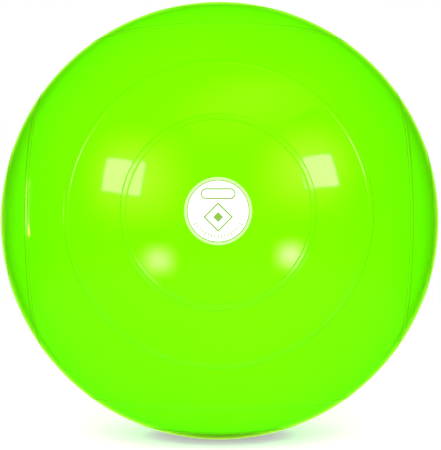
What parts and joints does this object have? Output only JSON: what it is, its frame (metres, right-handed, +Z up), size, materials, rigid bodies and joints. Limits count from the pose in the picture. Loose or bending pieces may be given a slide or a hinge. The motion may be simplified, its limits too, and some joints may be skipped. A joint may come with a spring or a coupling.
{
  "type": "weighted stability ball",
  "caption": "Inflated ribbed exercise ball with loose ballast inside, a plugged air valve at the rear and a round printed badge at the front.",
  "frame": {"origin": "middle of the flattened patch on which the ball stands on the floor", "axes": "+Z up, printed badge on the -Y pole, air valve on the +Y pole, +X to the right seen from the badge's side"},
  "size_m": [0.4499, 0.4502, 0.448],
  "materials": {
    "skin": "gloss",
    "seat": "satin",
    "plug": "satin",
    "ballast": "matte",
    "white_ink": "satin",
    "green_ink": "satin"
  },
  "bodies": {
    "ball": {"ball_shell": "skin", "valve_seat": "seat", "badge_disc": "white_ink", "badge_ring_line": "green_ink", "badge_field": "green_ink", "badge_emblem": "green_ink", "badge_ticks": "green_ink"},
    "plug": {"valve_plug": "plug"},
    "ballast": {"ballast_fill": "ballast"}
  },
  "joints": [
    {"name": "plug_pull", "type": "slide", "parent": "ball", "child": "plug", "axis": [0, 1, 0], "range_m": [0, 0.035]},
    {"name": "ballast_roll", "type": "hinge", "parent": "ball", "child": "ballast", "pos_m": [0, 0, 0.22299], "axis": [0, 1, 0], "continuous": true}
  ]
}
